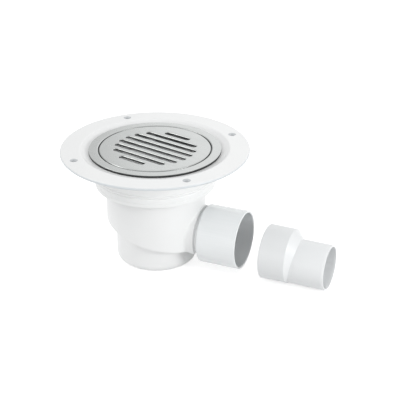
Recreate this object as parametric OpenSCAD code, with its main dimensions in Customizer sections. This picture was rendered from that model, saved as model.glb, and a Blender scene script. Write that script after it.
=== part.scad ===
// Floor gully trap for sheet vinyl floors, with a horizontal outlet and a loose pipe reducer.
// The origin is on the gully's axis at the underside of the cup, +X runs along the outlet, +Z is up.

/* [Main sizes] */
// Height from the underside of the cup to the top face of the cover
overall_h = 113.5; // [105:0.5:140]
// Diameter of the cover, from which the gully's other diameters follow
cover_d = 104.8; // [95:0.2:130]
// Height of the outlet's axis above the underside of the cup
outlet_z = 34; // [32:0.5:40]
// Height of the weir's rim, which sets the standing water level
weir_z = 61; // [56:0.5:66]
// Depth of standing water that the dip tube reaches into
seal_depth = 50; // [35:0.5:52]

/* [Flange and dish] */
// Width of the flat flange outside the dish
flange_w = 19; // [15:0.5:40]
// Thickness of the flange
flange_t = 3.2; // [2.5:0.1:5]
// How far the flange's top stands above the cover's top
flange_proud = 0.8; // [0:0.1:2]
// Width of the dish's hollow side, between the clamp ring's seat and the flat flange
dish_w = 7.5; // [6:0.1:12]
// Number of fixing holes in the flange
flange_holes = 4; // [3:1:12]
// Diameter of a fixing hole
flange_hole_d = 4.8; // [3.5:0.1:6]
// Diameter of a fixing hole's countersink
flange_sink_d = 7.8; // [6.5:0.1:9]

/* [Bowl] */
// Depth of the skirt's lower edge below the cover's top
skirt_drop = 35; // [30:0.5:42]
// General wall thickness of the mouldings
wall = 2.7; // [2:0.1:3.6]
// Number of ribs between the skirt and the socket
skirt_ribs = 12; // [4:1:24]

/* [Clamp ring] */
// Width of the clamp ring's band, seen round the cover
ring_w = 8.9; // [8:0.1:14]
// Thickness of the clamp ring's sheet
ring_t = 1; // [0.8:0.1:1.6]
// Width of the ledge that carries the cover
ledge_w = 7.3; // [5:0.1:8]
// Thickness of the rubber gasket under the clamp ring
gasket_t = 1.2; // [0.6:0.1:1.6]
// Number of clamp screws
screws = 6; // [4:1:12]
// Diameter of a clamp screw's shank
screw_d = 4; // [3:0.5:5]
// Length of a clamp screw, head included
screw_l = 12; // [8:0.5:13]

/* [Cover] */
// Thickness of the cover
cover_t = 1.8; // [1.5:0.1:2.5]
// Number of slots in the cover
slots = 8; // [4:1:10]
// Width of a slot
slot_w = 5.2; // [3:0.1:6.5]
// Width of the plain rim round the field of slots
slot_rim_w = 13.4; // [9:0.1:20]
// Direction of the slots, turned from the outlet's direction
slot_turn = -13.6; // [-90:0.1:90]

/* [Trap body] */
// Space between the chamber's socket and the bowl's skirt
pocket_w = 4.2; // [3:0.1:8]
// Wall thickness of the chamber
chamber_wall = 2.5; // [2:0.1:3]
// Width of the waterway between the weir and the chamber's wall
waterway_w = 6.3; // [5:0.1:10]
// Wall thickness of the cup
cup_wall = 2.6; // [2:0.1:3.5]
// Thickness of the cup's floor
cup_floor = 3; // [2:0.1:5]
// Radius of the cup's outer bottom edge
cup_edge = 7; // [4:0.5:10]
// Height at which the chamber's sloping underside crosses the gully's axis
slope_z = 34.2; // [32:0.1:38]
// Fall of the chamber's floor towards the outlet, in degrees
slope = 14.9; // [10:0.1:17]

/* [Outlet] */
// Outer diameter of the outlet pipe
outlet_d = 55.9; // [50:0.1:58]
// Wall thickness of the outlet pipe
outlet_wall = 2.05; // [1.8:0.05:3]
// Length of the outlet pipe
outlet_l = 38.2; // [30:0.1:90]
// How far the outlet boss stands out of the chamber's side
boss_show = 0.9; // [0.5:0.1:4]
// How much smaller the boss's radius is than the pipe's
boss_step = 1.95; // [1:0.05:3]
// How much smaller the neck's radius is than the pipe's
neck_step = 4.95; // [4:0.05:7]
// Length of neck that shows between the boss and the pipe
neck_show = 4; // [2:0.1:6]

/* [Dip tube] */
// Outer diameter of the dip tube
dip_d = 48; // [42:0.5:54]
// Wall thickness of the dip tube
dip_wall = 2; // [1.5:0.1:3]
// Cord diameter of the dip tube's seal
seal_d = 2.3; // [1.8:0.1:2.6]

/* [Reducer] */
// Diameter of the reducer's small end
reducer_d = 42.9; // [32:0.1:46]
// Wall thickness of the reducer
reducer_wall = 2; // [1.6:0.1:3]
// Length of the reducer's big end
reducer_big_l = 25.6; // [20:0.1:40]
// Length of the reducer's sloping step, along its top
reducer_step_l = 7.6; // [4:0.1:12]
// Length of the reducer's small end, along its underside
reducer_small_l = 36.3; // [24:0.1:50]
// Distance from the outlet pipe's end to the reducer's big end, where it lies on the floor
reducer_apart = 21.7; // [5:0.1:100]
// Sideways distance of the reducer from the outlet's line
reducer_y = 2.6; // [-30:0.1:30]
// Turn of the reducer on the floor, in degrees
reducer_turn = -1.5; // [-30:0.1:30]

/* [Hidden] */
$fn = 128;

// clearances
cover_gap = 0.9;        // between the cover's edge and the clamp ring
ring_gap = 0.3;         // round the clamp ring, in the bowl and in the dish
weld_gap = 0.1;         // left for cement in a solvent-welded joint
slide_gap = 0.1;        // between the reducer and the outlet's bore
plug_gap = 0.3;         // between the dip tube's flange and its bore
screw_gap = 0.05;       // round a screw in its hole
boss_gap = 0.3;         // between a screw boss and the ledge that it pulls on
cut = 1;                // how far a cut runs past the face that it starts from
edge_roll = 1;          // how far the cover's edges roll over at the rim and at the slots

// levels of the top pieces, from the cover down
flange_top = overall_h + flange_proud;
ledge_top = overall_h - cover_t;
ledge_under = ledge_top - ring_t;
gasket_top = overall_h - ring_t;
seat_z = gasket_top - gasket_t;
screw_boss_top = ledge_under - boss_gap;
skirt_z = overall_h - skirt_drop;

// radii of the top pieces
ring_in_r = cover_d / 2 + cover_gap;
riser_r = ring_in_r + ring_t;
ring_r = ring_in_r + ring_w;
ledge_r = ring_in_r - ledge_w;
bowl_in_r = riser_r + ring_gap;
bowl_r = bowl_in_r + wall;
gasket_in_r = riser_r + 1;
seat_r = ring_r + ring_gap;
dish_r = seat_r + dish_w;
flange_r = dish_r + flange_w;
flange_pcd = dish_r + flange_r - 1;
screw_circle_r = (ledge_r + riser_r) / 2 - 0.1;
screw_boss_r = bowl_in_r + 0.3 - screw_circle_r;
screw_head_r = screw_d / 2 + 1.5;
slot_field_d = cover_d - 2 * slot_rim_w;
slot_margin = 1.9;      // between the outermost slots and the edge of their round field
slot_pitch = (slot_field_d - 2 * slot_margin - slot_w) / (slots - 1);

// the dish's side: a hollow arc from the seat up to the flange
dish_rise = flange_top - seat_z;
dish_sweep = 2 * atan(dish_rise / dish_w);
dish_arc_r = dish_w / sin(dish_sweep);
dish_arc_z = seat_z + dish_arc_r;
under_z = flange_top - flange_t;
under_sweep = acos((dish_arc_z - under_z) / (dish_arc_r + wall));

// the socket that joins the bowl to the trap body, and the bore that takes the dip tube
socket_out_r = bowl_in_r - pocket_w;
socket_r = socket_out_r - wall;
chamber_r = socket_r - weld_gap;
chamber_in_r = chamber_r - chamber_wall;
lip_r = chamber_in_r - 1.9;
lip_t = 2.5;
plug_bore_r = chamber_in_r + 0.1;
plug_seat_z = skirt_z + 14;
lip_z = plug_seat_z - lip_t;
plug_h = 4.6;
funnel_z = plug_seat_z + plug_h + 0.4;
funnel_rise = 3.5;

// the cup, the chamber and the outlet
cup_r = chamber_in_r - waterway_w;
cup_in_r = cup_r - cup_wall;
outlet_r = outlet_d / 2;
outlet_in_r = outlet_r - outlet_wall;
boss_r = outlet_r - boss_step;
boss_end = chamber_r + boss_show;
neck_r = outlet_r - neck_step;
neck_wall = 2.5;
pipe_start = boss_end + neck_show;
pipe_back_t = 3;
neck_end = pipe_start + pipe_back_t + 0.5;
outlet_end = pipe_start + outlet_l;
edge_cut = 0.6;         // chamfer on pipe ends and boss edges

// the dip tube
plug_r = plug_bore_r - plug_gap;
dip_r = dip_d / 2;
dip_end_z = weir_z - seal_depth;
cone_low_z = plug_seat_z - 12;
seal_z = plug_seat_z + plug_h / 2;
seal_r = plug_bore_r - seal_d / 2 - screw_gap;
funnel_low_r = dip_r - dip_wall;
funnel_top_r = lip_r - 2;
funnel_flare = (funnel_top_r - funnel_low_r) / (plug_seat_z + plug_h - cone_low_z);
handle_w = 6;
handle_t = 4;
handle_z = cone_low_z + 2;

// the reducer
reducer_big_r = outlet_in_r - slide_gap;
reducer_small_r = reducer_d / 2;
reducer_l = reducer_big_l + reducer_small_l;
reducer_relief = 0.3;   // off the small end's radius, between the cone and the length that a socket takes

// points of an arc about (x, z), from angle a to angle b
function arc(x, z, r, a, b, steps = 8) =
    [for (i = [0 : steps]) let (t = a + (b - a) * i / steps) [x + r * cos(t), z + r * sin(t)]];

// everything above the chamber's sloping underside, lifted by a distance
module above_slope(lift = 0) {
    reach = 300;
    translate([0, 0, slope_z + lift])
        rotate([0, slope, 0])
            translate([-reach / 2, -reach / 2, 0])
                cube([reach, reach, reach]);
}

// a rod along the outlet's axis
module outlet_rod(r, from, to) {
    translate([from, 0, outlet_z])
        rotate([0, 90, 0])
            cylinder(r = r, h = to - from);
}

// a rod along the outlet's axis that the chamber's sloping underside cuts flat
module flat_bottomed_rod(r, from, to, lift = 0) {
    intersection() {
        outlet_rod(r, from, to);
        above_slope(lift);
    }
}

// copies of the children on a circle
module around(count, radius, start = 0) {
    for (i = [0 : count - 1])
        rotate([0, 0, start + i * 360 / count])
            translate([radius, 0, 0])
                children();
}

// the skirt's outside, from its lower edge up: a band, a collar and a bead, parted by fine grooves
function skirt_side() =
    let (band_z = skirt_z + 4, collar_z = skirt_z + 8.8, bead_z = skirt_z + 10.6,
         groove = 0.6, r = bowl_r - 0.3)
    concat(arc(bowl_r - 0.8, skirt_z + 0.8, 0.8, -90, 0, 4),
           [[bowl_r, band_z - groove / 2], [r - groove / 2, band_z], [bowl_r, band_z + groove / 2]],
           arc(bowl_r - 1.8, collar_z - 1.2, 1.8, 0, 70, 5),
           [[r - groove, collar_z + groove / 2]],
           arc(r - 0.3, bead_z, 1.1, -70, 80, 8),
           [[r - 0.2, bead_z + 1.6]]);

// half section of the flange, dish, bowl and socket
function flange_bowl_section() = concat(
    // outside of the skirt, then the underside of the dish and the flange
    skirt_side(),
    arc(bowl_r + 2.8, dish_arc_z - dish_arc_r - wall - 3, 3, 180, 90, 6),
    arc(seat_r, dish_arc_z, dish_arc_r + wall, -90, -90 + under_sweep, 8),
    // full-round rim and top of the flange
    arc(flange_r - flange_t / 2, under_z + flange_t / 2, flange_t / 2, -90, 90, 12),
    // dish
    arc(seat_r, dish_arc_z, dish_arc_r, -90 + dish_sweep, -90, 12),
    // inside of the bowl down to the dip tube's seat
    [[bowl_in_r, seat_z], [bowl_in_r, funnel_z + funnel_rise],
     [plug_bore_r + 1, funnel_z + 0.4], [plug_bore_r, funnel_z - 0.8],
     [plug_bore_r, plug_seat_z], [lip_r, plug_seat_z], [lip_r, lip_z]],
    // socket, then the pocket between the socket and the skirt
    [[socket_r, lip_z], [socket_r, skirt_z + edge_cut], [socket_r + edge_cut, skirt_z],
     [socket_out_r, skirt_z], [socket_out_r, funnel_z - 2.4], [bowl_in_r, funnel_z - 0.6],
     [bowl_in_r, skirt_z]]);

module flange_bowl() color("white") {
    rib_in = socket_out_r - 0.5;
    rib_out = bowl_in_r + 0.5;
    rib_t = 1.8;
    difference() {
        union() {
            rotate_extrude() polygon(flange_bowl_section());
            // screw bosses against the bowl's wall
            around(screws, screw_circle_r)
                translate([0, 0, funnel_z])
                    cylinder(r = screw_boss_r, h = screw_boss_top - funnel_z);
            // ribs that tie the socket to the skirt
            around(skirt_ribs, rib_in, 180 / skirt_ribs)
                translate([0, -rib_t / 2, skirt_z + 2])
                    cube([rib_out - rib_in, rib_t, funnel_z - 1.5 - skirt_z - 2]);
        }
        around(screws, screw_circle_r)
            translate([0, 0, ledge_top - screw_l - 1])
                cylinder(r = screw_d / 2 + screw_gap, h = screw_l + cut, $fn = 32);
        around(flange_holes, flange_pcd / 2, 45) {
            translate([0, 0, under_z - cut])
                cylinder(d = flange_hole_d, h = flange_t + 2 * cut, $fn = 48);
            translate([0, 0, flange_top - (flange_sink_d - flange_hole_d) / 2])
                cylinder(d1 = flange_hole_d, d2 = flange_sink_d + 0.02,
                         h = (flange_sink_d - flange_hole_d) / 2 + 0.01, $fn = 48);
        }
    }
}

// half section of the cup with the weir above it
function cup_section() = concat(
    [[0, 0]],
    arc(cup_r - cup_edge, cup_edge, cup_edge, -90, 0, 10),
    arc(cup_r - cup_wall / 2, weir_z - cup_wall / 2, cup_wall / 2, 0, 180, 10),
    arc(cup_in_r - cup_edge / 2, cup_floor + cup_edge / 2, cup_edge / 2, 0, -90, 8),
    [[0, cup_floor]]);

module trap_body() color("whitesmoke") {
    difference() {
        intersection() {
            union() {
                cylinder(r = chamber_r, h = lip_z);
                outlet_rod(boss_r, 0, boss_end - edge_cut);
                translate([boss_end - edge_cut, 0, outlet_z])
                    rotate([0, 90, 0])
                        cylinder(r1 = boss_r, r2 = boss_r - edge_cut, h = edge_cut);
                outlet_rod(neck_r, 0, neck_end);
            }
            above_slope();
        }
        // the chamber, down to its sloping floor
        intersection() {
            cylinder(r = chamber_in_r, h = lip_z + cut);
            above_slope(chamber_wall);
        }
        // room for the cup and the weir, which are turned as one
        cylinder(r = cup_r - cup_wall / 2, h = weir_z);
        // way out to the pipe
        difference() {
            flat_bottomed_rod(neck_r - neck_wall, 0, neck_end + cut, chamber_wall);
            cylinder(r = chamber_in_r - 0.5, h = overall_h);
        }
    }
    rotate_extrude() polygon(cup_section());
}

module outlet_pipe() color("gainsboro") {
    difference() {
        rotate_about_outlet(pipe_start, [
            [0, 0], [outlet_r - edge_cut, 0], [outlet_r, edge_cut],
            [outlet_r, outlet_end - pipe_start - edge_cut / 2],
            [outlet_r - edge_cut / 2, outlet_end - pipe_start],
            [outlet_in_r + edge_cut, outlet_end - pipe_start],
            [outlet_in_r, outlet_end - pipe_start - 2 * edge_cut],
            [outlet_in_r, pipe_back_t], [0, pipe_back_t]]);
        flat_bottomed_rod(neck_r + weld_gap, pipe_start - cut, pipe_start + pipe_back_t + cut, -weld_gap);
    }
}

// turns a half section about the outlet's axis, starting at a distance from the gully's axis
module rotate_about_outlet(from, section) {
    translate([from, 0, outlet_z])
        rotate([0, 90, 0])
            rotate_extrude() polygon(section);
}

module clamp_gasket() color("black") {
    translate([0, 0, seat_z])
        difference() {
            cylinder(r = ring_r, h = gasket_t);
            translate([0, 0, -cut]) cylinder(r = gasket_in_r, h = gasket_t + 2 * cut);
        }
}

// half section of the pressed clamp ring, with bent corners: outer band, riser and ledge
function clamp_ring_section() = let (e = ring_t / 4, bend = ring_t) concat(
    [[ledge_r, ledge_under]],
    arc(riser_r - bend, ledge_under + bend, bend, -90, 0, 5),
    [[riser_r, gasket_top], [ring_r - e, gasket_top], [ring_r, gasket_top + e],
     [ring_r, overall_h - e], [ring_r - e, overall_h]],
    arc(ring_in_r + bend, overall_h - bend, bend, 90, 180, 5),
    [[ring_in_r, ledge_top], [ledge_r, ledge_top]]);

module clamp_ring() color("silver") {
    difference() {
        rotate_extrude() polygon(clamp_ring_section());
        around(screws, screw_circle_r)
            translate([0, 0, ledge_under])
                screw_cone(screw_gap);
    }
}

// the cone of a countersunk head, with a clearance all round, through the clamp ring's sheet
module screw_cone(gap = 0) {
    translate([0, 0, gap > 0 ? -0.01 : 0])
        cylinder(r1 = screw_head_r - ring_t + gap, r2 = screw_head_r + gap + (gap > 0 ? 0.02 : 0),
                 h = ring_t + (gap > 0 ? 0.02 : 0), $fn = 32);
}

module clamp_screws() color("lightgray") {
    around(screws, screw_circle_r)
        difference() {
            union() {
                translate([0, 0, ledge_under]) screw_cone();
                translate([0, 0, ledge_top - screw_l + 1])
                    cylinder(d = screw_d, h = screw_l - 1 - ring_t / 2, $fn = 32);
                translate([0, 0, ledge_top - screw_l])
                    cylinder(d1 = screw_d - 2, d2 = screw_d, h = 1, $fn = 32);
            }
            // cross recess
            for (turn = [0, 90])
                rotate([0, 0, turn])
                    translate([-screw_d / 2, -0.4, ledge_top - 1])
                        cube([screw_d, 0.8, 1 + cut]);
        }
}

// a slot with round ends and rolled top edges, on the round field that the slots fill
module slot(offset_y) {
    half_w = slot_w / 2;
    reach = sqrt(pow(slot_field_d / 2 - half_w, 2) - pow(offset_y, 2));
    roll = arc(half_w + edge_roll, cover_t - edge_roll, edge_roll, 180, 95, 4);
    side = concat([[half_w, -cut]], roll, [[half_w + edge_roll, cover_t + 0.01]]);
    other_side = [for (i = [len(side) - 1 : -1 : 0]) [-side[i][0], side[i][1]]];
    translate([0, offset_y, 0]) {
        for (end = [-1, 1])
            translate([end * reach, 0, 0])
                rotate_extrude($fn = 48)
                    polygon(concat([[0, -cut]], side, [[0, cover_t + 0.01]]));
        translate([-reach, 0, 0])
            rotate([90, 0, 90])
                linear_extrude(2 * reach) polygon(concat(side, other_side));
    }
}

module cover() color("silver") {
    e = 0.3;
    r = cover_d / 2;
    translate([0, 0, ledge_top])
        difference() {
            rotate_extrude()
                polygon(concat([[0, 0], [r - e, 0], [r, e]],
                    arc(r - edge_roll, cover_t - edge_roll, edge_roll, 0, 90, 4), [[0, cover_t]]));
            rotate([0, 0, slot_turn])
                for (i = [0 : slots - 1])
                    slot((i - (slots - 1) / 2) * slot_pitch);
        }
}

// half section of the dip tube: a grooved plug, a funnel and the tube
function dip_section() =
    let (groove = seal_d / 2 + 0.15, groove_r = seal_r - seal_d / 2 - 0.05, top_z = plug_seat_z + plug_h,
         cone_r = lip_r - 0.4)
    [[plug_r, plug_seat_z], [plug_r, seal_z - groove], [groove_r, seal_z - groove],
     [groove_r, seal_z + groove], [plug_r, seal_z + groove], [plug_r, top_z],
     [funnel_top_r, top_z], [funnel_low_r, cone_low_z], [funnel_low_r, dip_end_z],
     [dip_r, dip_end_z], [dip_r, cone_low_z - 1], [cone_r, plug_seat_z - 1], [cone_r, plug_seat_z]];

module dip_tube() color("ghostwhite") {
    rotate_extrude() polygon(dip_section());
    // bar to lift it by, which ends inside the funnel's wall
    bar_r = funnel_low_r + funnel_flare * (handle_z - cone_low_z) + 1;
    intersection() {
        translate([-funnel_top_r, -handle_w / 2, handle_z])
            cube([2 * funnel_top_r, handle_w, handle_t]);
        translate([0, 0, handle_z])
            cylinder(r1 = bar_r, r2 = bar_r + funnel_flare * handle_t, h = handle_t);
    }
}

module dip_tube_seal() color("dimgray") {
    translate([0, 0, seal_z])
        rotate_extrude()
            translate([seal_r, 0]) circle(d = seal_d, $fn = 24);
}

// a rod along the reducer's own axis at a height above the floor
module lying_rod(r, from, to, axis_z) {
    translate([from, 0, axis_z])
        rotate([0, 90, 0])
            cylinder(r = r, h = to - from);
}

// the reducer's outline: the small end, level with the big end underneath, runs into a cone on the big end's axis;
// relief makes the small tube a little smaller behind the length that a socket takes
module reducer_form(big_r, small_r, level, relief = 0) {
    drop = 2 * (big_r - small_r);
    socket_x = reducer_big_l + reducer_step_l + 0.1;
    small_z = level + small_r;
    lying_rod(big_r, 0, reducer_big_l, level + big_r);
    lying_rod(small_r - relief, reducer_big_l - 1, relief > 0 ? socket_x + 1 : reducer_l, small_z);
    if (relief > 0)
        lying_rod(small_r, socket_x, reducer_l, small_z);
    translate([reducer_big_l, 0, level + big_r])
        rotate([0, 90, 0])
            cylinder(r1 = big_r, r2 = big_r - drop - 0.2, h = reducer_step_l * (drop + 0.2) / drop);
}

module reducer() color("gainsboro") {
    big_bore_r = reducer_big_r - reducer_wall;
    small_bore_r = reducer_small_r - reducer_wall;
    translate([outlet_end + reducer_apart, reducer_y, 0])
        rotate([0, 0, reducer_turn])
            difference() {
                reducer_form(reducer_big_r, reducer_small_r, 0, reducer_relief);
                reducer_form(big_bore_r, small_bore_r, reducer_wall);
                // open ends with chamfered edges
                lying_rod(big_bore_r, -cut, cut, reducer_big_r);
                lying_rod(small_bore_r, reducer_l - cut, reducer_l + cut, reducer_small_r);
                end_chamfer(0, 1, reducer_big_r);
                end_chamfer(reducer_l, -1, reducer_small_r);
            }
}

// cuts the outer edge of a tube's open end; side is 1 where the tube goes on towards +X
module end_chamfer(x, side, r) {
    translate([x, 0, r])
        rotate([0, side * 90, 0])
            rotate_extrude()
                polygon([[r - edge_cut, -cut], [r + cut, -cut], [r + cut, edge_cut + cut], [r, edge_cut], [r - edge_cut, 0]]);
}

flange_bowl();
trap_body();
outlet_pipe();
clamp_gasket();
clamp_ring();
clamp_screws();
cover();
dip_tube();
dip_tube_seal();
reducer();
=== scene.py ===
import math
import bmesh
import bpy
import numpy as np
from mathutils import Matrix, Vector


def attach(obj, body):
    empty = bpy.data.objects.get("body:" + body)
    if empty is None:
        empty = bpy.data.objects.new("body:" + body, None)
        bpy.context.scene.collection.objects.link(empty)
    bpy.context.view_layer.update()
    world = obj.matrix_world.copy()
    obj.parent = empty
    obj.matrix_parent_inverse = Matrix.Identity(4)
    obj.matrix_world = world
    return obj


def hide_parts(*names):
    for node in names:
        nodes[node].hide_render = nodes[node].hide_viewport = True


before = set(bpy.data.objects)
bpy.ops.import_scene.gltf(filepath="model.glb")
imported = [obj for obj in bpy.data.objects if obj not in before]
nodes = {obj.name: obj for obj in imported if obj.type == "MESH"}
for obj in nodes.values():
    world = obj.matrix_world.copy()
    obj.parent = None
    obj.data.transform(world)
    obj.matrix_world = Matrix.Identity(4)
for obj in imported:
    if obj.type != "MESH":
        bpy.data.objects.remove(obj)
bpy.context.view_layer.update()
mm = 0.001
print("loaded", sorted(nodes))


# colour and node helpers

def linear(hexCode):
    # sRGB hex to linear: each channel c is c/12.92 below 0.04045, else ((c + 0.055)/1.055)^2.4
    c = np.array([int(hexCode[i:i + 2], 16) for i in (0, 2, 4)]) / 255
    lin = np.where(c <= 0.04045, c / 12.92, ((c + 0.055) / 1.055) ** 2.4)
    return (*lin.tolist(), 1.0)


def addNode(tree, kind, settings=None, links=None):
    # settings go to attributes or, by name or number, to input sockets; links are input -> output socket
    node = tree.nodes.new(kind)
    for key, value in (settings or {}).items():
        if isinstance(key, str) and hasattr(node, key):
            setattr(node, key, value)
        else:
            node.inputs[key].default_value = value
    for key, source in (links or {}).items():
        tree.links.new(source, node.inputs[key])
    return node


def newMaterial(name):
    # a material with an empty node tree
    material = bpy.data.materials.new(name)
    material.use_nodes = True
    tree = material.node_tree
    tree.nodes.clear()
    return material, tree


def endMaterial(material, tree, shader, hexCode):
    # the shader goes to the output, and the plain colour to the viewport
    addNode(tree, "ShaderNodeOutputMaterial", links={"Surface": shader.outputs[0]})
    material.diffuse_color = linear(hexCode)
    return material


def useMaterial(obj, material):
    # one material for the whole of a piece
    obj.data.materials.clear()
    obj.data.materials.append(material)


# surfaces

def arcPoints(centre, radius, start, end, steps):
    # points on a circle: centre + radius (cos t, sin t), with t from start to end in degrees
    t = np.radians(np.linspace(start, end, steps + 1))
    return np.stack([centre[0] + radius * np.cos(t), centre[1] + radius * np.sin(t)], axis=-1)


def roundCorners(points, radii, steps=6, closed=True):
    # each corner gives way to an arc tangent to both its sides: the arc's ends lie r / tan(half the corner's angle)
    # from the corner, and its points turn evenly from one end to the other about the centre
    leastTurn, leastLength = 1e-4, 1e-9  # a straight corner has next to no turn
    p = np.asarray(points, float)
    r = np.broadcast_to(np.asarray(radii, float), p.shape[:-1])[..., None]
    a = np.roll(p, 1, axis=-2) - p
    b = np.roll(p, -1, axis=-2) - p
    a /= np.linalg.norm(a, axis=-1, keepdims=True)
    b /= np.linalg.norm(b, axis=-1, keepdims=True)
    half = np.arccos(np.clip((a * b).sum(-1, keepdims=True), -1, 1)) / 2
    turn = np.maximum(np.pi - 2 * half, leastTurn)
    between = np.maximum(np.linalg.norm(a + b, axis=-1, keepdims=True), leastLength)
    centre = p + (a + b) / between * r / np.sin(half)
    u = p + a * r / np.tan(half) - centre
    v = p + b * r / np.tan(half) - centre
    s = np.linspace(0, 1, steps + 1)[:, None]
    u, v, centre, turn = (w[..., None, :] for w in (u, v, centre, turn))
    rounded = centre + (np.sin((1 - s) * turn) * u + np.sin(s * turn) * v) / np.sin(turn)
    if closed:
        return rounded.reshape(*p.shape[:-2], -1, 2)
    inner = rounded[..., 1:-1, :, :].reshape(*p.shape[:-2], -1, 2)
    return np.concatenate([p[..., :1, :], inner, p[..., -1:, :]], axis=-2)


def gridObject(name, grid, closed=True):
    # a grid of points (across, along, xyz) in mm, closed along its first direction and, if asked, its second
    across, along = grid.shape[:2]
    i = np.arange(across)[:, None]
    j = np.arange(along if closed else along - 1)[None, :]
    corner = lambda di, dj: ((i + di) % across) * along + (j + dj) % along
    quads = np.stack([corner(0, 0), corner(1, 0), corner(1, 1), corner(0, 1)], axis=-1).reshape(-1, 4)
    mesh = bpy.data.meshes.new(name)
    mesh.from_pydata((grid.reshape(-1, 3) * mm).tolist(), [], quads.tolist())
    piece = bpy.data.objects.new(name, mesh)
    bpy.context.collection.objects.link(piece)
    return tidyMesh(piece)


def tidyMesh(piece, doubleMm=0.002, sliverMm=0.001):
    # doubles at poles and seams are merged, and all faces turned outwards
    work = bmesh.new()
    work.from_mesh(piece.data)
    bmesh.ops.remove_doubles(work, verts=work.verts, dist=doubleMm * mm)
    bmesh.ops.dissolve_degenerate(work, edges=work.edges, dist=sliverMm * mm)
    bmesh.ops.recalc_face_normals(work, faces=work.faces)
    work.to_mesh(piece.data)
    work.free()
    return piece


def sealMesh(piece, gapMm=0.003):
    # after the cuts, points nearer than the gap are one, slivers go, and what stays open is closed
    work = bmesh.new()
    work.from_mesh(piece.data)
    bmesh.ops.remove_doubles(work, verts=work.verts[:], dist=gapMm * mm)
    bmesh.ops.dissolve_degenerate(work, edges=work.edges[:], dist=gapMm * mm)
    bmesh.ops.triangulate(work, faces=work.faces[:])
    bmesh.ops.dissolve_degenerate(work, edges=work.edges[:], dist=gapMm * mm)
    bmesh.ops.holes_fill(work, edges=[edge for edge in work.edges if len(edge.link_faces) == 1])
    bmesh.ops.triangulate(work, faces=[face for face in work.faces if len(face.verts) > 3])
    work.to_mesh(piece.data)
    work.free()
    return piece


def turned(name, section, segments=192, axis="z", at=(0, 0, 0), closed=True):
    # a half section (radius, height) turned about an axis: (r cos t, r sin t, h), with h along the axis
    t = np.linspace(0, 2 * np.pi, segments, endpoint=False)[:, None]
    section = np.asarray(section, float)
    radius, height = section[..., 0], section[..., 1]
    ring = [radius * np.cos(t), radius * np.sin(t), height + 0 * t]
    if axis == "x":
        ring = [ring[2], ring[0], ring[1]]
    return gridObject(name, np.stack(ring, axis=-1) + np.asarray(at, float), closed)


def rodsRound(name, section, count, circle, firstDegrees=0.0, segments=48):
    # upright rods of one half section (radius, height), evenly on a circle: rod k stands at (c cos a, c sin a), where a
    # is the first angle + 360 k / count
    angles = np.radians(firstDegrees + np.arange(count) * 360 / count)
    return [turned(name, section, segments=segments, closed=False, at=(circle * math.cos(a), circle * math.sin(a), 0))
            for a in angles.tolist()]


def swing(x, y, degrees, at=(0, 0)):
    # a turn about the upright axis, then a shift: (x cos a - y sin a, x sin a + y cos a)
    a = math.radians(degrees)
    return [at[0] + x * math.cos(a) - y * math.sin(a), at[1] + x * math.sin(a) + y * math.cos(a)]


def combine(piece, others, operation):
    # cuts the others from a piece, or joins them to it, and leaves one plain mesh
    for other in others:
        step = piece.modifiers.new(operation, "BOOLEAN")
        step.operation = operation
        step.solver = "EXACT"
        step.object = other
    bpy.context.view_layer.update()
    graph = bpy.context.evaluated_depsgraph_get()
    mesh = bpy.data.meshes.new_from_object(piece.evaluated_get(graph))
    piece.modifiers.clear()
    piece.data = mesh
    for other in others:
        bpy.data.objects.remove(other)
    return piece


def finishPiece(piece, node, material, sharpDegrees=32):
    # smooth shading that breaks only at real edges, weighted so that flats stay flat beside their fillets
    mesh = piece.data
    mesh.polygons.foreach_set("use_smooth", np.ones(len(mesh.polygons), dtype=bool))
    mesh.set_sharp_from_angle(angle=math.radians(sharpDegrees))
    weight = piece.modifiers.new("flats", "WEIGHTED_NORMAL")
    weight.keep_sharp = True
    useMaterial(piece, material)
    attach(piece, "root")
    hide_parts(node)
    print(piece.name, len(mesh.polygons), "faces")
    return piece


# materials

absMoulding = {
    "colour": "f1f2f2", "shade": "edeeee", "roughness": 0.34, "ior": 1.53,
    "flowMm": 38, "skinMm": 1.4, "skinDepthMm": 0.012,
}

# the two darker colours are painted shade, on the rim's round edge and in the countersinks; each pair of lengths
# gives where that painted shade starts to come in and where it is full
flangeMoulding = {
    **absMoulding, "paintedShadeColour": "d6dbde", "paintedSinkShadeColour": "c8cbcd",
    "rimMm": (86.6, 88.4), "rimHeightMm": (114.2, 113.3), "sinkMm": (4.0, 3.5), "holeCircleMm": 79.0,
}


def shadeFlange(tree, coords, tone, spec):
    # painted shade, in a darker colour, on the rim's round edge, by the distance from the axis and the height, and in
    # the four countersinks, by the distance of (|x|, |y|) from the hole at 45 degrees, c sqrt(1/2) along each axis
    flat = addNode(tree, "ShaderNodeVectorMath", {"operation": "MULTIPLY", 1: (1, 1, 0)}, {0: coords})
    radius = addNode(tree, "ShaderNodeVectorMath", {"operation": "LENGTH"}, {0: flat.outputs[0]})
    height = addNode(tree, "ShaderNodeSeparateXYZ", links={0: coords})
    quarter = addNode(tree, "ShaderNodeVectorMath", {"operation": "ABSOLUTE"}, {0: flat.outputs[0]})
    hole = spec["holeCircleMm"] * mm * math.sqrt(0.5)
    away = addNode(tree, "ShaderNodeVectorMath", {"operation": "DISTANCE", 1: (hole, hole, 0)}, {0: quarter.outputs[0]})
    masks = {}
    for key, source in {"rimMm": radius.outputs["Value"], "rimHeightMm": height.outputs["Z"],
                        "sinkMm": away.outputs["Value"]}.items():
        start, full = spec[key]
        masks[key] = addNode(tree, "ShaderNodeMapRange", {"From Min": start * mm, "From Max": full * mm},
                             {"Value": source}).outputs[0]
    rim = addNode(tree, "ShaderNodeMath", {"operation": "MULTIPLY"}, {0: masks["rimMm"], 1: masks["rimHeightMm"]})
    edged = addNode(tree, "ShaderNodeMix", {"data_type": "RGBA", 7: linear(spec["paintedShadeColour"])},
                    {"Factor": rim.outputs[0], 6: tone})
    sunk = addNode(tree, "ShaderNodeMix", {"data_type": "RGBA", 7: linear(spec["paintedSinkShadeColour"])},
                   {"Factor": masks["sinkMm"], 6: edged.outputs[2]})
    return sunk.outputs[2]


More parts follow.
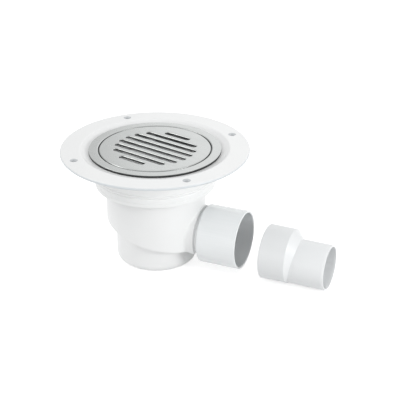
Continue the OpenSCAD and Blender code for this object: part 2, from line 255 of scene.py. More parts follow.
def makeAbs(name, spec):
    # white ABS or rigid PVC, injection moulded: an even satin skin, with slow flow marks in its tone
    material, tree = newMaterial(name)
    coords = addNode(tree, "ShaderNodeTexCoord").outputs["Object"]
    flow = addNode(tree, "ShaderNodeTexNoise", {"Scale": 1000 / spec["flowMm"], "Detail": 2.0}, {"Vector": coords})
    tone = addNode(tree, "ShaderNodeMix", {"data_type": "RGBA", 6: linear(spec["colour"]), 7: linear(spec["shade"])},
                   {"Factor": flow.outputs["Fac"]})
    # on the flange, painted shade on the rim's round edge and in the countersinks
    base = shadeFlange(tree, coords, tone.outputs[2], spec) if "paintedShadeColour" in spec else tone.outputs[2]
    skin = addNode(tree, "ShaderNodeTexNoise", {"Scale": 1000 / spec["skinMm"], "Detail": 3.0}, {"Vector": coords})
    bump = addNode(tree, "ShaderNodeBump", {"Strength": 0.35, "Distance": spec["skinDepthMm"] * mm},
                   {"Height": skin.outputs["Fac"]})
    shader = addNode(tree, "ShaderNodeBsdfPrincipled", {"IOR": spec["ior"], "Roughness": spec["roughness"]},
                     {"Base Color": base, "Normal": bump.outputs[0]})
    return endMaterial(material, tree, shader, spec["colour"])


pvcMoulding = {
    "colour": "eaeced", "shade": "e7e9ea", "roughness": 0.3, "ior": 1.54,
    "flowMm": 30, "skinMm": 1.2, "skinDepthMm": 0.01,
}

pvcPipe = {
    "colour": "f3f5f6", "shade": "ecf0f1", "roughness": 0.2, "ior": 1.54,
    "lineMm": 0.9, "lineLengthMm": 60, "lineDepthMm": 0.015,
    # the bore's colour is painted shade, darker towards the bottom of the bore
    "axisMm": 34.0, "boreRadiusMm": (26.3, 26.0), "boreHeightMm": (43.0, 36.0), "paintedBoreShadeColour": "dcdedf",
}


def makePvc(name, spec):
    # white rigid PVC, extruded: a smooth skin with faint drawing lines along the pipe, and painted shade on the lower
    # part of its bore, by the distance from the pipe's axis and the height
    material, tree = newMaterial(name)
    coords = addNode(tree, "ShaderNodeTexCoord").outputs["Object"]
    along = addNode(tree, "ShaderNodeMapping",
                    {"Scale": (1000 / spec["lineLengthMm"], 1000 / spec["lineMm"], 1000 / spec["lineMm"])},
                    {"Vector": coords})
    lines = addNode(tree, "ShaderNodeTexNoise", {"Scale": 1.0, "Detail": 2.0}, {"Vector": along.outputs[0]})
    tone = addNode(tree, "ShaderNodeMix", {"data_type": "RGBA", 6: linear(spec["colour"]), 7: linear(spec["shade"])},
                   {"Factor": lines.outputs["Fac"]})
    centred = addNode(tree, "ShaderNodeVectorMath", {"operation": "SUBTRACT", 1: (0, 0, spec["axisMm"] * mm)},
                      {0: coords})
    across = addNode(tree, "ShaderNodeVectorMath", {"operation": "MULTIPLY", 1: (0, 1, 1)}, {0: centred.outputs[0]})
    radius = addNode(tree, "ShaderNodeVectorMath", {"operation": "LENGTH"}, {0: across.outputs[0]})
    start, full = spec["boreRadiusMm"]
    inside = addNode(tree, "ShaderNodeMapRange", {"From Min": start * mm, "From Max": full * mm},
                     {"Value": radius.outputs["Value"]})
    height = addNode(tree, "ShaderNodeSeparateXYZ", links={0: coords})
    start, full = spec["boreHeightMm"]
    low = addNode(tree, "ShaderNodeMapRange", {"From Min": start * mm, "From Max": full * mm},
                  {"Value": height.outputs["Z"]})
    both = addNode(tree, "ShaderNodeMath", {"operation": "MULTIPLY"}, {0: inside.outputs[0], 1: low.outputs[0]})
    # painted shade on the lower part of the bore
    shaded = addNode(tree, "ShaderNodeMix", {"data_type": "RGBA", 7: linear(spec["paintedBoreShadeColour"])},
                     {"Factor": both.outputs[0], 6: tone.outputs[2]})
    bump = addNode(tree, "ShaderNodeBump", {"Strength": 0.3, "Distance": spec["lineDepthMm"] * mm},
                   {"Height": lines.outputs["Fac"]})
    shader = addNode(tree, "ShaderNodeBsdfPrincipled", {"IOR": spec["ior"], "Roughness": spec["roughness"]},
                     {"Base Color": shaded.outputs[2], "Normal": bump.outputs[0]})
    return endMaterial(material, tree, shader, spec["colour"])


brushedSheet = {
    "colour": "cfd1d0", "grainColour": "c2c5c4", "roughness": (0.25, 0.37), "grainMm": 0.35, "grainLengthMm": 26,
    # the edge colour is painted shade, on the steep faces and on everything below the top face
    "grainDepthMm": 0.01, "turnDegrees": -13.6, "paintedShadeColour": "565959",
    # a face is an edge where its normal's upright share is under the first value, and a flat over the second
    "edgeTilt": (0.25, 0.6), "recessMm": (112.5, 113.15),
}


def makeBrushed(name, spec):
    # stainless sheet, brushed: straight fine scratches that spread the highlight across them; its sheared edges
    # and its recesses carry painted shade, a darker colour that stands in for the shade that falls there
    material, tree = newMaterial(name)
    coords = addNode(tree, "ShaderNodeTexCoord").outputs["Object"]
    lined = addNode(tree, "ShaderNodeMapping", {"Rotation": (0, 0, math.radians(-spec["turnDegrees"]))},
                    {"Vector": coords})
    along = addNode(tree, "ShaderNodeMapping",
                    {"Scale": (1000 / spec["grainLengthMm"], 1000 / spec["grainMm"], 1000 / spec["grainMm"])},
                    {"Vector": lined.outputs[0]})
    grain = addNode(tree, "ShaderNodeTexNoise", {"Scale": 1.0, "Detail": 3.0, "Roughness": 0.6},
                    {"Vector": along.outputs[0]})
    tone = addNode(tree, "ShaderNodeMix",
                   {"data_type": "RGBA", 6: linear(spec["colour"]), 7: linear(spec["grainColour"])},
                   {"Factor": grain.outputs["Fac"]})
    smooth, rough = spec["roughness"]
    gloss = addNode(tree, "ShaderNodeMapRange", {"From Min": 0.3, "From Max": 0.7, "To Min": smooth, "To Max": rough},
                    {"Value": grain.outputs["Fac"]})
    bump = addNode(tree, "ShaderNodeBump", {"Strength": 0.4, "Distance": spec["grainDepthMm"] * mm},
                   {"Height": grain.outputs["Fac"]})
    geometry = addNode(tree, "ShaderNodeNewGeometry")
    normal = addNode(tree, "ShaderNodeSeparateXYZ", links={0: geometry.outputs["Normal"]})
    tilt = addNode(tree, "ShaderNodeMath", {"operation": "ABSOLUTE"}, {0: normal.outputs["Z"]})
    steep, flat = spec["edgeTilt"]
    upright = addNode(tree, "ShaderNodeMapRange", {"From Min": steep, "From Max": flat, "To Min": 1.0, "To Max": 0.0},
                      {"Value": tilt.outputs[0]})
    height = addNode(tree, "ShaderNodeSeparateXYZ", links={0: coords})
    low, high = (level * mm for level in spec["recessMm"])
    recess = addNode(tree, "ShaderNodeMapRange", {"From Min": low, "From Max": high, "To Min": 1.0, "To Max": 0.0},
                     {"Value": height.outputs["Z"]})
    # painted shade: the larger of the steep-face mask and the recess mask
    paintedShade = addNode(tree, "ShaderNodeMath", {"operation": "MAXIMUM"}, {0: upright.outputs[0], 1: recess.outputs[0]})
    edged = addNode(tree, "ShaderNodeMix", {"data_type": "RGBA", 7: linear(spec["paintedShadeColour"])},
                    {"Factor": paintedShade.outputs[0], 6: tone.outputs[2]})
    shader = addNode(tree, "ShaderNodeBsdfPrincipled", {"Metallic": 1.0},
                     {"Base Color": edged.outputs[2], "Roughness": gloss.outputs[0], "Normal": bump.outputs[0]})
    return endMaterial(material, tree, shader, spec["colour"])


epdmRubber = {
    "colour": "242424", "bloom": "303030", "roughness": 0.62, "ior": 1.5, "grainMm": 0.6, "grainDepthMm": 0.03,
}


def makeRubber(name, spec):
    # EPDM rubber, moulded: black and dull, with a faint grey bloom
    material, tree = newMaterial(name)
    coords = addNode(tree, "ShaderNodeTexCoord").outputs["Object"]
    grain = addNode(tree, "ShaderNodeTexNoise", {"Scale": 1000 / spec["grainMm"], "Detail": 3.0}, {"Vector": coords})
    tone = addNode(tree, "ShaderNodeMix", {"data_type": "RGBA", 6: linear(spec["colour"]), 7: linear(spec["bloom"])},
                   {"Factor": grain.outputs["Fac"]})
    bump = addNode(tree, "ShaderNodeBump", {"Strength": 0.5, "Distance": spec["grainDepthMm"] * mm},
                   {"Height": grain.outputs["Fac"]})
    shader = addNode(tree, "ShaderNodeBsdfPrincipled", {"IOR": spec["ior"], "Roughness": spec["roughness"]},
                     {"Base Color": tone.outputs[2], "Normal": bump.outputs[0]})
    return endMaterial(material, tree, shader, spec["colour"])


white = makeAbs("absMoulded", absMoulding)
flangeWhite = makeAbs("absMouldedFlange", flangeMoulding)
greyWhite = makeAbs("pvcMoulded", pvcMoulding)
pipeWhite = makePvc("pvcExtruded", pvcPipe)
steel = makeBrushed("stainlessBrushed", brushedSheet)
rubber = makeRubber("epdmMoulded", epdmRubber)
for node, material in {"flange_bowl": flangeWhite, "trap_body": white, "outlet_pipe": pipeWhite, "clamp_gasket": rubber,
                       "clamp_ring": steel, "clamp_screws": steel, "cover": steel, "dip_tube": white,
                       "dip_tube_seal": rubber, "reducer": greyWhite}.items():
    useMaterial(nodes[node], material)
print("materials")


# cover

coverPlate = {
    "radius": 52.4, "under": 111.7, "thick": 1.8, "roll": 1.0, "underRadius": 0.3,
    "slots": 8, "slotWidth": 5.2, "slotPitch": 9.857, "fieldRadius": 39.0, "turnDegrees": brushedSheet["turnDegrees"],
    "endPoints": 33, "past": 1.0,  # points round each end of a slot, and how far its cutter passes the sheet
}


def slotCutter(name, spec, offset):
    # a slot's hollow: for each level, a stadium outline about the slot's middle line, half w + flare from it, where
    # flare follows the roll's quarter circle, r - r cos t over a depth of r - r sin t
    halfWidth = spec["slotWidth"] / 2
    reach = math.sqrt((spec["fieldRadius"] - halfWidth) ** 2 - offset ** 2)
    top, wide = spec["under"] + spec["thick"], halfWidth + spec["roll"]
    low, high = spec["under"] - spec["past"], top + spec["past"]
    flare = arcPoints((wide, top - spec["roll"]), spec["roll"], 180, 90, 10)
    levels = np.concatenate([[[0, low], [halfWidth, low]], flare, [[wide, high], [0, high]]])
    ends = [np.linspace(start, start + 180, spec["endPoints"]) for start in (-90, 90)]
    t = np.radians(np.concatenate(ends))[:, None]
    side = np.repeat([1.0, -1.0], spec["endPoints"])[:, None]
    x = side * reach + levels[:, 0] * np.cos(t)
    y = offset + levels[:, 0] * np.sin(t)
    grid = [*swing(x, y, spec["turnDegrees"]), levels[:, 1] + 0 * t]
    return gridObject(name, np.stack(grid, axis=-1), closed=False)


def makeCover(spec):
    # a round blank with its upper rim rolled over, with a row of slots cut through it
    top = spec["under"] + spec["thick"]
    blank = roundCorners([[0, spec["under"]], [spec["radius"], spec["under"]], [spec["radius"], top], [0, top]],
                         [0, spec["underRadius"], spec["roll"], 0], steps=10, closed=False)
    plate = turned("coverPlate", blank, segments=256, closed=False)
    offsets = (np.arange(spec["slots"]) - (spec["slots"] - 1) / 2) * spec["slotPitch"]
    combine(plate, [slotCutter("slotCutter", spec, offset) for offset in offsets.tolist()], "DIFFERENCE")
    return finishPiece(plate, "cover", steel)


makeCover(coverPlate)


# clamp ring

clampBand = {
    "radius": 62.2, "innerRadius": 53.3, "ledgeRadius": 46.0, "top": 113.5, "ledgeTop": 111.7, "sheet": 1.0,
    "edge": 0.35, "bend": 1.0, "lowBend": 0.6, "crease": 0.15, "screws": 6, "screwCircle": 50.05, "headRadius": 3.55,
    "coneAbove": 0.3, "coneBelow": 0.5,  # how far the countersinks' cutters pass the ledge
}


def makeClampRing(spec):
    # one pressed sheet: a band on the dish, a riser bent down from it and a ledge bent inwards, with countersunk holes
    t, edge, crease, head = spec["sheet"], spec["edge"], spec["crease"], spec["headRadius"]
    riser, ledge, top, ledgeTop = spec["innerRadius"], spec["ledgeRadius"], spec["top"], spec["ledgeTop"]
    corners = [[ledge, ledgeTop - t], [riser + t, ledgeTop - t], [riser + t, top - t], [spec["radius"], top - t],
               [spec["radius"], top], [riser, top], [riser, ledgeTop], [ledge, ledgeTop]]
    radii = [edge / 2, spec["lowBend"], crease, edge, edge, spec["bend"], crease, edge / 2]
    ring = turned("clampBand", roundCorners(corners, radii, steps=6), segments=256)
    above, below = spec["coneAbove"], spec["coneBelow"]
    cone = [[0, ledgeTop - t - below], [head - t - below, ledgeTop - t - below],
            [head + above, ledgeTop + above], [0, ledgeTop + above]]
    combine(ring, rodsRound("screwCone", cone, spec["screws"], spec["screwCircle"]), "DIFFERENCE")
    return finishPiece(sealMesh(ring), "clamp_ring", steel)


makeClampRing(clampBand)


# flange and bowl

flangeBowl = {
    "bowlRadius": 57.3, "bowlInside": 54.6, "seatRadius": 62.5, "seatHeight": 111.3, "dishWidth": 7.5,
    "flangeRadius": 89.0, "flangeTop": 114.3, "flangeThick": 3.2, "dishEdge": 3.0, "wall": 2.7, "skirtHeight": 78.5,
    "socketOut": 50.4, "socketIn": 47.7, "boreRadius": 45.2, "lipRadius": 43.2, "lipHeight": 90.0, "plugSeat": 92.5,
    "funnelHeight": 97.5, "holes": 4, "holeCircle": flangeMoulding["holeCircleMm"], "holeRadius": 2.4,
    "sinkRadius": 3.9, "screws": clampBand["screws"], "screwCircle": clampBand["screwCircle"], "screwRadius": 2.05,
    "screwFoot": 98.7, "screwBoss": 4.85, "screwBossTop": 110.4, "screwBossEdge": 0.3,
    "ribs": 12, "ribThick": 1.8, "ribLow": 80.5, "ribHigh": 96.0, "ribSunk": 0.5,
    # the skirt's groove, collar and bead: heights above its lower edge, then sizes
    "grooveUp": 4.0, "collarUp": 8.8, "beadUp": 10.6, "groove": 0.6, "grooveLip": 0.25, "grooveRoot": 0.15,
    "skirtInset": 0.3, "skirtEdge": 0.8, "collarEdge": 1.8, "collarDrop": 1.2, "beadRadius": 1.1, "beadInset": 0.3,
    "beadNeck": 1.6, "neckInset": 0.2, "underFillet": 3.0, "filletOut": 2.8,
    # the bowl's inside: its mouth's edge, the funnel above the bore, the socket's lead and the pocket's oblique top
    "mouthEdge": 0.4, "funnelRise": 3.5, "funnelFoot": (1.0, 0.4), "boreDrop": 0.8, "socketLead": 0.6,
    "pocketDrops": (2.4, 0.6),
    "drillDepth": 6.0, "drillPast": 1.0, "sinkPast": 0.3,  # how deep the cutters go and how far they pass the tops
}


def flangeSection(spec):
    # skirt with its groove, collar and bead, the dish's underside, the full-round rim, the dish and the bowl's inside;
    # the dish's hollow is an arc that leaves the seat level and rises h over a width w: it turns 2 atan(h / w), on a
    # radius of w / sin of that turn
    bowl, inside, wall, skirt = spec["bowlRadius"], spec["bowlInside"], spec["wall"], spec["skirtHeight"]
    top, seat, width, flange = spec["flangeTop"], spec["seatHeight"], spec["dishWidth"], spec["flangeRadius"]
    rise = top - seat
    sweep = 2 * math.atan(rise / width)
    hollow = width / math.sin(sweep)
    centre = seat + hollow
    under = top - spec["flangeThick"]
    underSweep = math.degrees(math.acos((centre - under) / (hollow + wall)))
    rim = spec["flangeThick"] / 2
    # the dish's upper edge is an arc that touches the flat flange and the hollow arc: its centre lies hollow + e from
    # the hollow arc's centre and e below the flange
    e = spec["dishEdge"]
    down = hollow - rise + e
    across = math.sqrt((hollow + e) ** 2 - down ** 2)
    touch = math.degrees(math.atan2(-down, across))
    band, collar, bead = (skirt + spec[key] for key in ("grooveUp", "collarUp", "beadUp"))
    groove, lip, root = spec["groove"], spec["grooveLip"], spec["grooveRoot"]
    edge, fold, fillet, mouth = spec["skirtEdge"], spec["collarEdge"], spec["underFillet"], spec["mouthEdge"]
    inner = bowl - spec["skirtInset"]
    funnel, bore, seatR, lead = spec["funnelHeight"], spec["boreRadius"], spec["seatRadius"], spec["socketLead"]
    footOut, footUp = spec["funnelFoot"]
    pocketOut, pocketIn = spec["pocketDrops"]
    run = 2  # a straight stretch on each side of the groove, dropped again
    return np.concatenate([
        arcPoints((bowl - edge, skirt + edge), edge, -90, 0, 6),
        roundCorners([[bowl, band - run], [bowl, band - groove / 2], [inner - groove / 2, band],
                      [bowl, band + groove / 2], [bowl, band + run]], [0, lip, root, lip, 0],
                     steps=4, closed=False)[1:-1],
        arcPoints((bowl - fold, collar - spec["collarDrop"]), fold, 0, 70, 10),
        [[inner - groove, collar + groove / 2]],
        arcPoints((inner - spec["beadInset"], bead), spec["beadRadius"], -70, 80, 14),
        [[inner - spec["neckInset"], bead + spec["beadNeck"]]],
        arcPoints((bowl + spec["filletOut"], centre - hollow - wall - fillet), fillet, 180, 90, 10),
        arcPoints((seatR, centre), hollow + wall, -90, -90 + underSweep, 12)[1:],
        arcPoints((flange - rim, under + rim), rim, -90, 90, 20),
        arcPoints((seatR + across, top - e), e, 90, 180 + touch, 8),
        arcPoints((seatR, centre), hollow, touch, -90, 16)[1:],
        arcPoints((inside + mouth, seat - mouth), mouth, 90, 180, 4),
        [[inside, funnel + spec["funnelRise"]], [bore + footOut, funnel + footUp], [bore, funnel - spec["boreDrop"]],
         [bore, spec["plugSeat"]], [spec["lipRadius"], spec["plugSeat"]], [spec["lipRadius"], spec["lipHeight"]],
         [spec["socketIn"], spec["lipHeight"]], [spec["socketIn"], skirt + lead], [spec["socketIn"] + lead, skirt],
         [spec["socketOut"], skirt], [spec["socketOut"], funnel - pocketOut], [inside, funnel - pocketIn],
         [inside, skirt]]])


def makeFlangeBowl(spec):
    # the turned section, joined with screw bosses and ribs, then drilled
    piece = turned("flangeBowl", flangeSection(spec), segments=320)
    low, high, boss = spec["funnelHeight"], spec["screwBossTop"], spec["screwBoss"]
    post = roundCorners([[0, low], [boss, low], [boss, high], [0, high]], [0, 0, spec["screwBossEdge"], 0],
                        closed=False)
    combine(piece, rodsRound("screwBoss", post, spec["screws"], spec["screwCircle"]), "UNION")
    # a rib is a block between the socket and the skirt, drawn as its outline shrunk to the middle at both ends
    size = np.array([0.0, 1.0, 1.0, 0.0])
    half = spec["ribThick"] / 2
    reach = spec["bowlInside"] - spec["socketOut"] + 2 * spec["ribSunk"]
    x = (spec["bowlInside"] + spec["socketOut"]) / 2 + size * (np.array([-1.0, 1.0, 1.0, -1.0])[:, None] * reach / 2)
    y = size * np.array([-half, -half, half, half])[:, None]
    z = np.array([spec["ribLow"], spec["ribLow"], spec["ribHigh"], spec["ribHigh"]]) + 0 * y
    turns = 180 / spec["ribs"] + np.arange(spec["ribs"]) * 360 / spec["ribs"]
    ribs = [gridObject("rib", np.stack([*swing(x, y, turn), z], axis=-1), closed=False) for turn in turns.tolist()]
    combine(piece, ribs, "UNION")
    hole, sink, top = spec["holeRadius"], spec["sinkRadius"], spec["flangeTop"]
    foot, above = top - spec["drillDepth"], spec["sinkPast"]
    cone = [[0, foot], [hole, foot], [hole, top - (sink - hole)], [sink + above, top + above], [0, top + above]]
    drills = rodsRound("flangeDrill", cone, spec["holes"], spec["holeCircle"], 45)
    drill, foot, high = spec["screwRadius"], spec["screwFoot"], high + spec["drillPast"]
    drills += rodsRound("screwDrill", [[0, foot], [drill, foot], [drill, high], [0, high]],
                        spec["screws"], spec["screwCircle"], segments=32)
    combine(piece, drills, "DIFFERENCE")
    return finishPiece(sealMesh(piece), "flange_bowl", flangeWhite, sharpDegrees=34)


makeFlangeBowl(flangeBowl)


# trap body

trapBody = {
    "chamberRadius": 47.6, "chamberWall": 2.5, "lipHeight": flangeBowl["lipHeight"], "lipEdge": 0.4,
    "slopeHeight": 34.2, "slopeDegrees": 14.9,
    "cupRadius": 38.8, "cupWall": 2.6, "cupFloor": 3.0, "cupEdge": 7.0, "cupInnerEdge": 3.5, "cupJoin": 55.0,
    "weirHeight": 61.0, "axisHeight": pvcPipe["axisMm"], "neckRadius": 23.0, "neckWall": 2.5, "neckEnd": 56.0,
    "neckFillet": 0.4, "bossStart": 20.0, "bossRadius": 26.0, "bossEnd": 48.5, "bossEdge": 0.6, "fillet": 1.8,
    "filletReach": 1.3, "sunk": 0.1,
    # how far the wall is drawn below the cup, the block that is cut away reaches, and the cutters pass the ends
    "wallStart": -5.0, "blockReach": 80.0, "blockLow": -30.0, "past": 1.0, "waterwayGap": 0.2,
}


def slopeZ(spec, x, lift=0.0):
    # height of the chamber's sloping underside at x, or of a plane that lies a distance above it
    angle = math.radians(spec["slopeDegrees"])
    return spec["slopeHeight"] + lift / math.cos(angle) - math.tan(angle) * x


def flatRod(name, spec, radius, start, end, lift=0.0, stations=24):
    # a rod along the outlet's axis whose underside is raised to the sloping plane: z = max(circle, plane)
    t = np.linspace(0, 2 * np.pi, 192, endpoint=False)[:, None]
    x = np.concatenate([[start], np.linspace(start, end, stations), [end]])
    size = np.concatenate([[0.0], np.full(stations, radius), [0.0]])
    z = np.maximum(spec["axisHeight"] + size * np.cos(t), slopeZ(spec, x, lift))
    return gridObject(name, np.stack([x + 0 * t, size * np.sin(t), z], axis=-1), closed=False)


def makeBoss(spec):
    # the outlet's root, one profile for each direction round the outlet's axis: a fillet leaves the chamber's wall,
    # x = sqrt(R^2 - y^2), along the curve (1-s)^2 a + 2 s (1-s) b + s^2 c, then the boss's side, its rounded edge, its
    # face and the narrower neck follow
    t = np.linspace(0, 2 * np.pi, 256, endpoint=False)[:, None]
    wall = lambda size: np.sqrt(spec["chamberRadius"] ** 2 - (size * np.sin(t)) ** 2) - spec["sunk"]
    side, edge, neck, end = spec["bossRadius"], spec["bossEdge"], spec["neckRadius"], spec["bossEnd"]
    foot, fold = side + spec["fillet"], spec["neckFillet"]
    s = np.linspace(0, 1, 14)
    leastSide = 0.05  # what is left of the boss's side where the fillet reaches nearly to its edge
    rootX = np.minimum(wall(side) + spec["fillet"] * spec["filletReach"], end - edge - leastSide)
    x = [np.full_like(t, spec["bossStart"]), np.full_like(t, spec["bossStart"]),
         (1 - s) ** 2 * wall(foot) + 2 * s * (1 - s) * wall(side) + s ** 2 * rootX]
    size = [0 * t, foot + 0 * t, (1 - s) ** 2 * foot + (1 - (1 - s) ** 2) * side + 0 * t]
    rest = np.concatenate([arcPoints((end - edge, side - edge), edge, 90, 0, 6),
                           arcPoints((end + fold, neck + fold), fold, 180, 270, 4),
                           [[spec["neckEnd"], neck], [spec["neckEnd"], 0]]])
    x = np.concatenate([*x, rest[:, 0] + 0 * t], axis=1)
    size = np.concatenate([*size, rest[:, 1] + 0 * t], axis=1)
    grid = [x, size * np.sin(t), spec["axisHeight"] + size * np.cos(t)]
    return gridObject("boss", np.stack(grid, axis=-1), closed=False)


def makeSlopeBlock(spec):
    # everything under the sloping plane, as one wedge that is cut away
    near, far, low = -spec["blockReach"], spec["blockReach"], spec["blockLow"]
    x = np.array([near, far, far, near])
    z = np.array([slopeZ(spec, near), slopeZ(spec, far), low, low])
    y = np.array([near, near, far, far])[:, None]
    size = np.array([0.0, 1.0, 1.0, 0.0])[:, None]
    middle = [x.mean(), z.mean()]
    grid = [middle[0] + size * (x - middle[0]), y + 0 * x, middle[1] + size * (z - middle[1])]
    return gridObject("slopeBlock", np.stack(grid, axis=-1).transpose(1, 0, 2), closed=False)


def makeTrapBody(spec):
    # the chamber's round wall with the outlet's root, cut by the sloping plane, then the cup, then the hollow
    r, lip, low, past = spec["chamberRadius"], spec["lipHeight"], spec["wallStart"], spec["past"]
    outside = roundCorners([[0, low], [r, low], [r, lip], [0, lip]], [0, 0, spec["lipEdge"], 0], closed=False)
    body = turned("trapBody", outside, segments=256, closed=False)
    combine(body, [makeBoss(spec)], "UNION")
    combine(body, [makeSlopeBlock(spec)], "DIFFERENCE")
    cup, join = spec["cupRadius"], spec["cupJoin"]
    outside = roundCorners([[0, 0], [cup, 0], [cup, join], [0, join]], [0, spec["cupEdge"], 0, 0], steps=16,
                           closed=False)
    combine(body, [turned("cup", outside, segments=256, closed=False)], "UNION")
    # the hollow, one section for each direction round the gully: cup, weir, sloping floor, chamber and mouth
    inside, weir, edge, bottom = cup - spec["cupWall"], spec["weirHeight"], spec["cupInnerEdge"], spec["cupFloor"]
    wall, rim = r - spec["chamberWall"], spec["cupWall"] / 2
    t = np.linspace(0, 2 * np.pi, 256, endpoint=False)
    fixed = np.concatenate([
        [[0, bottom]],
        arcPoints((inside - edge, bottom + edge), edge, -90, 0, 8),
        arcPoints((inside + rim, weir - rim), rim, 180, 0, 10)])
    section = np.broadcast_to(fixed, (len(t), *fixed.shape))
    floor = [[size + 0 * t, slopeZ(spec, size * np.cos(t), spec["chamberWall"])] for size in (cup, wall)]
    mouth = [[size + 0 * t, lip + past + 0 * t] for size in (wall, 0.0)]
    section = np.concatenate([section, np.array(floor + mouth).transpose(2, 0, 1)], axis=1)
    hollow = turned("hollow", section, segments=len(t), closed=False)
    waterway = flatRod("waterway", spec, spec["neckRadius"] - spec["neckWall"], cup + spec["waterwayGap"],
                       spec["neckEnd"] + past, spec["chamberWall"])
    combine(body, [hollow, waterway], "DIFFERENCE")
    return finishPiece(sealMesh(body), "trap_body", white, sharpDegrees=38)


makeTrapBody(trapBody)


# outlet pipe and reducer

outletPipe = {
    "axisHeight": pvcPipe["axisMm"], "start": 52.5, "end": 90.7, "radius": 27.95, "wall": 2.05, "backThick": 3.0,
    "backEdge": 0.5, "backFillet": 0.8, "rimEdge": 0.45, "boreEdge": 0.72, "neckRadius": 23.1, "neckGap": 0.1,
    "past": 1.0,  # how far the neck's cutter passes the back plate
}


def makeOutletPipe(spec):
    # a plain tube turned about the outlet's axis, with rounded rims and a back plate that takes the neck
    r, inner, start, end = spec["radius"], spec["radius"] - spec["wall"], spec["start"], spec["end"]
    back = start + spec["backThick"]
    corners = [[0, start], [r, start], [r, end], [inner, end], [inner, back], [0, back]]
    radii = [0, spec["backEdge"], spec["rimEdge"], spec["boreEdge"], spec["backFillet"], 0]
    section = roundCorners(corners, radii, steps=6, closed=False)
    pipe = turned("outletPipe", section, segments=256, axis="x", at=(0, 0, spec["axisHeight"]), closed=False)
    neckHole = flatRod("neckHole", trapBody, spec["neckRadius"], start - spec["past"], back + spec["past"],
                       -spec["neckGap"])
    combine(pipe, [neckHole], "DIFFERENCE")
    return finishPiece(sealMesh(pipe), "outlet_pipe", pipeWhite)


makeOutletPipe(outletPipe)


reducer = {
    "start": 112.4, "side": 2.6, "turnDegrees": -1.5, "bigRadius": 25.8, "smallRadius": 21.45, "wall": 2.0,
    "bigLength": 25.6, "stepLength": 7.6, "length": 61.9, "relief": 0.3, "reliefEnd": 33.3,
    "edge": 0.5, "lead": 2.2, "leadDepth": 0.35, "soften": 0.3, "blend": 0.15,
    # the bore's flare: how far from the big end and how wide, then the same at the small end
    "flareAt": (0.0, 1.0, 1.6), "flareWide": (0.5, 0.1, 0.0), "endFlareAt": 1.0, "endFlareWide": 0.4,
}


def makeReducer(spec):
    # one loft about the small end's axis: the distance out is the larger of the big end's circle, which shrinks over
    # the step, d cos t + sqrt(R^2 - d^2 sin^2 t), and the small end's, blended as (a + b + sqrt((a - b)^2 + k^2)) / 2
    big, small, wall, edge = spec["bigRadius"], spec["smallRadius"], spec["wall"], spec["edge"]
    drop = 2 * (big - small)
    rampEnd = 1.15  # the ramp stops a little past the step, inside the small tube
    stepEnd = spec["bigLength"] + spec["stepLength"]
    t = np.linspace(0, 2 * np.pi, 256, endpoint=False)[:, None]

    def outline(x, bigSize, smallSize):
        # the big circle's radius follows a ramp over the step, eased at its start
        ramp = (x - spec["bigLength"]) / spec["stepLength"]
        ease = spec["soften"] / spec["stepLength"]
        ramp = (ramp + np.sqrt(ramp ** 2 + ease ** 2)) / 2
        rim = bigSize - drop * np.minimum(ramp, rampEnd)
        d = big - small
        a = d * np.cos(t) + np.sqrt(np.maximum(rim ** 2 - (d * np.sin(t)) ** 2, 1.0))
        return (a + smallSize + np.sqrt((a - smallSize) ** 2 + spec["blend"] ** 2)) / 2

    # stations along the outside: the big end's edge, its tube, the step, closely, the small tube and its lead and edge
    first = edge * (1 - np.cos(np.linspace(0, np.pi / 2, 6)))
    firstCut = edge * (1 - np.sin(np.linspace(0, np.pi / 2, 6)))
    lead = spec["length"] - spec["lead"]
    between = np.concatenate([np.linspace(2, spec["bigLength"] - 2.5, 8),
                              np.linspace(spec["bigLength"] - 2, stepEnd + 2, 64),
                              np.linspace(stepEnd + 3, lead - 0.4, 12), [lead]])
    x = np.concatenate([first, between, spec["length"] - first[::-1]])
    tube = small - spec["relief"] * (x < spec["reliefEnd"])
    trim = np.concatenate([firstCut, 0 * between, spec["leadDepth"] + firstCut[::-1]])
    # the blend lifts the outline by a hundredth, so the underside is held at the floor that it lies on
    down = np.maximum(-np.cos(t), 0.001)
    outer = np.minimum(outline(x, big, tube) - trim, small / down)
    back = x[::-1]
    flare = np.interp(back, [*spec["flareAt"], spec["length"] - spec["endFlareAt"], spec["length"]],
                      [*spec["flareWide"], 0.0, spec["endFlareWide"]])
    inner = outline(back, big - wall, small - wall) + flare
    size = np.concatenate([outer, inner], axis=1)
    place = swing(np.concatenate([x, back]), size * np.sin(t), spec["turnDegrees"], (spec["start"], spec["side"]))
    piece = gridObject("looseReducer", np.stack([*place, small + size * np.cos(t)], axis=-1))
    return finishPiece(piece, "reducer", greyWhite, sharpDegrees=34)


makeReducer(reducer)


# floor, light and camera

studio = {
    "floorSize": 8.0, "floorColour": "dadada", "floorGlow": 0.66, "worldLevel": 0.71,
    "lamps": {  # size in metres, watts, then the places of each soft box and of the point that it faces
        "key": (0.35, 6.6, (1.35, -0.26, 0.58), (0.03, 0, 0.05)),
        "left": (1.2, 14.0, (-1.9, -0.7, 1.75), (0.0, 0, 0.1)),
        "front": (1.6, 8.0, (-0.6, -2.8, 0.9), (0.0, 0, 0.06)),
        "back": (2.0, 6.5, (-0.19, 2.34, 1.23), (0.03, 0, 0.1)),
        "low": (0.8, 5.0, (1.6, -2.2, 0.25), (0.08, 0, 0.04)),
    },
}


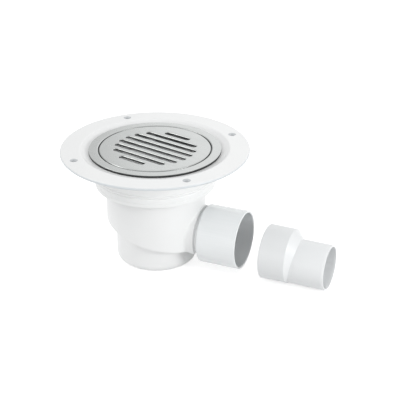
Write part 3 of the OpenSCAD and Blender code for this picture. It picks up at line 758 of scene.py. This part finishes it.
def makeStudio(spec):
    # a square floor under the cup, lit by the lamps; camera and mirror rays see some extra glow, so that it reads white
    half = spec["floorSize"] / 2
    mesh = bpy.data.meshes.new("floor")
    mesh.from_pydata([(-half, -half, 0), (half, -half, 0), (half, half, 0), (-half, half, 0)], [], [(0, 1, 2, 3)])
    floor = bpy.data.objects.new("floor", mesh)
    bpy.context.collection.objects.link(floor)
    material, tree = newMaterial("paperMatt")
    path = addNode(tree, "ShaderNodeLightPath")
    seen = addNode(tree, "ShaderNodeMath", {"operation": "MAXIMUM"},
                   {0: path.outputs["Is Camera Ray"], 1: path.outputs["Is Glossy Ray"]})
    glow = addNode(tree, "ShaderNodeMath", {"operation": "MULTIPLY", 1: spec["floorGlow"]}, {0: seen.outputs[0]})
    light = addNode(tree, "ShaderNodeEmission", {"Color": (1, 1, 1, 1)}, {"Strength": glow.outputs[0]})
    matt = addNode(tree, "ShaderNodeBsdfDiffuse", {"Color": linear(spec["floorColour"])})
    both = addNode(tree, "ShaderNodeAddShader", links={0: matt.outputs[0], 1: light.outputs[0]})
    useMaterial(floor, endMaterial(material, tree, both, spec["floorColour"]))

    world = bpy.data.worlds.new("studio")
    bpy.context.scene.world = world
    world.use_nodes = True
    tree = world.node_tree
    tree.nodes.clear()
    path = addNode(tree, "ShaderNodeLightPath")
    level = addNode(tree, "ShaderNodeMapRange", {"To Min": spec["worldLevel"], "To Max": 1.0},
                    {"Value": path.outputs["Is Camera Ray"]})
    sky = addNode(tree, "ShaderNodeBackground", {"Color": (1, 1, 1, 1)}, {"Strength": level.outputs[0]})
    addNode(tree, "ShaderNodeOutputWorld", links={"Surface": sky.outputs[0]})

    for name, (size, watts, place, aim) in spec["lamps"].items():
        lamp = bpy.data.lights.new(name, "AREA")
        lamp.size = size
        lamp.energy = watts
        obj = bpy.data.objects.new(name, lamp)
        obj.location = place
        obj.rotation_euler = (Vector(aim) - obj.location).to_track_quat("-Z", "Y").to_euler()
        bpy.context.collection.objects.link(obj)


lensView = {"atMm": (387.0, -827.6, 514.0), "looks": (-0.3413, 0.8272, -0.4464), "lensMm": 95.64, "sensorMm": 36}


def makeCamera(spec):
    # a camera at a place, looking along a direction, with its top upwards
    data = bpy.data.cameras.new("camera")
    data.lens = spec["lensMm"]
    data.sensor_width = spec["sensorMm"]
    camera = bpy.data.objects.new("camera", data)
    camera.location = Vector(spec["atMm"]) * mm
    camera.rotation_euler = Vector(spec["looks"]).to_track_quat("-Z", "Y").to_euler()
    bpy.context.collection.objects.link(camera)
    bpy.context.scene.camera = camera


makeStudio(studio)
makeCamera(lensView)
bpy.context.scene.view_settings.view_transform = "Standard"
print("studio")
